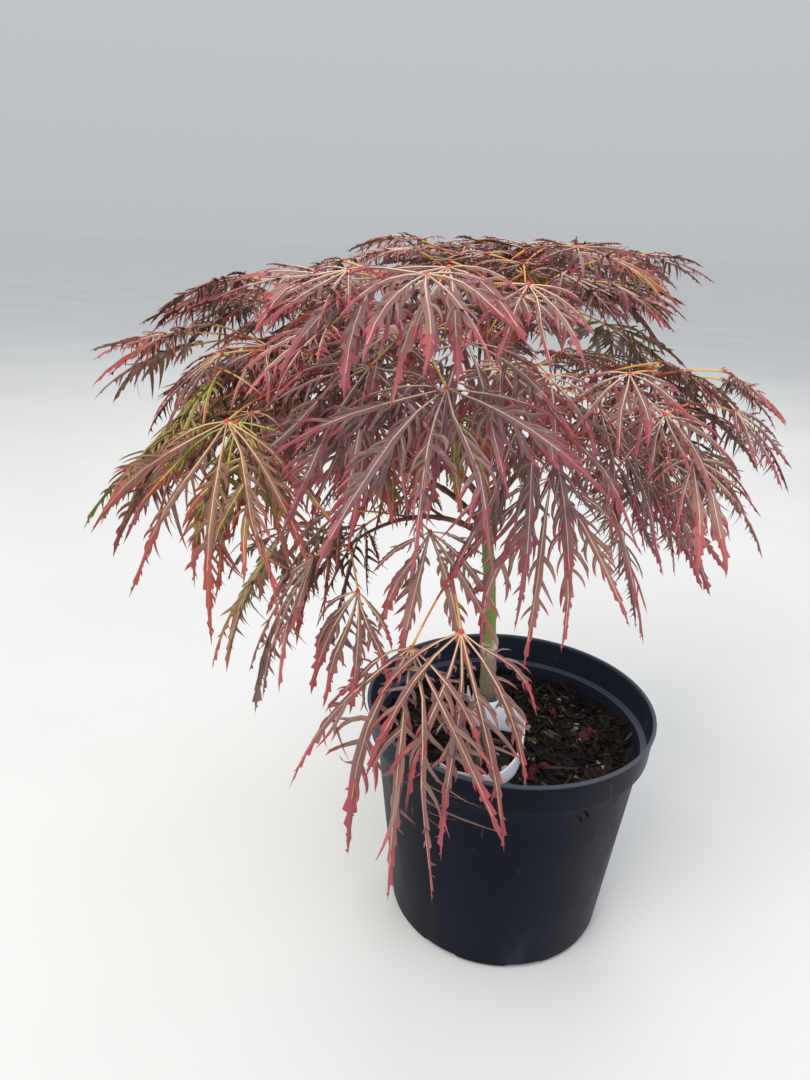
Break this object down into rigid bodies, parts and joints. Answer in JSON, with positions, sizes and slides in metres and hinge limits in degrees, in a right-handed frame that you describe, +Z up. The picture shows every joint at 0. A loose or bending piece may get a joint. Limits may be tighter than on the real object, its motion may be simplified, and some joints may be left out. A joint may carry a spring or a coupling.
{
  "type": "potted japanese maple",
  "caption": "Young weeping laceleaf maple with a slim stem, arching shoots and finely cut purple-red leaves, in a round plastic nursery pot with a blank loop label.",
  "frame": {"origin": "middle of the pot's flat underside", "axes": "+Z up, -Y towards the front of the plant, where its longest leaves hang over the rim"},
  "size_m": [0.3697, 0.3814, 0.4441],
  "materials": {
    "pot_plastic": "satin, dusty and scuffed",
    "soil": "moist composted bark",
    "label_plastic": "smooth",
    "green_bark": "smooth green bark, paler and greyer below the graft",
    "shoot_bark": "smooth red-brown bark",
    "foliage": "matt leaf"
  },
  "bodies": {
    "root": {"pot": "pot_plastic", "potting_soil": "soil", "label": "label_plastic", "trunk": "green_bark", "bough_front": "shoot_bark", "bough_left_front": "shoot_bark", "bough_left": "shoot_bark", "bough_left_mid": "shoot_bark", "bough_rear_left": "shoot_bark", "bough_rear": "shoot_bark", "bough_rear_right": "shoot_bark", "bough_top": "shoot_bark", "bough_right": "shoot_bark", "bough_right_front": "shoot_bark", "bough_right_rear": "shoot_bark", "bough_low_front": "shoot_bark", "bough_low_left": "shoot_bark", "bough_low_left_rear": "shoot_bark", "bough_low_rear": "shoot_bark", "foliage_front": "foliage", "foliage_left_front": "foliage", "foliage_left": "foliage", "foliage_left_mid": "foliage", "foliage_rear_left": "foliage", "foliage_rear": "foliage", "foliage_rear_right": "foliage", "foliage_top": "foliage", "foliage_right": "foliage", "foliage_right_front": "foliage", "foliage_right_rear": "foliage", "foliage_low_front": "foliage", "foliage_low_left": "foliage", "foliage_low_left_rear": "foliage", "foliage_low_rear": "foliage"}
  },
  "joints": []
}
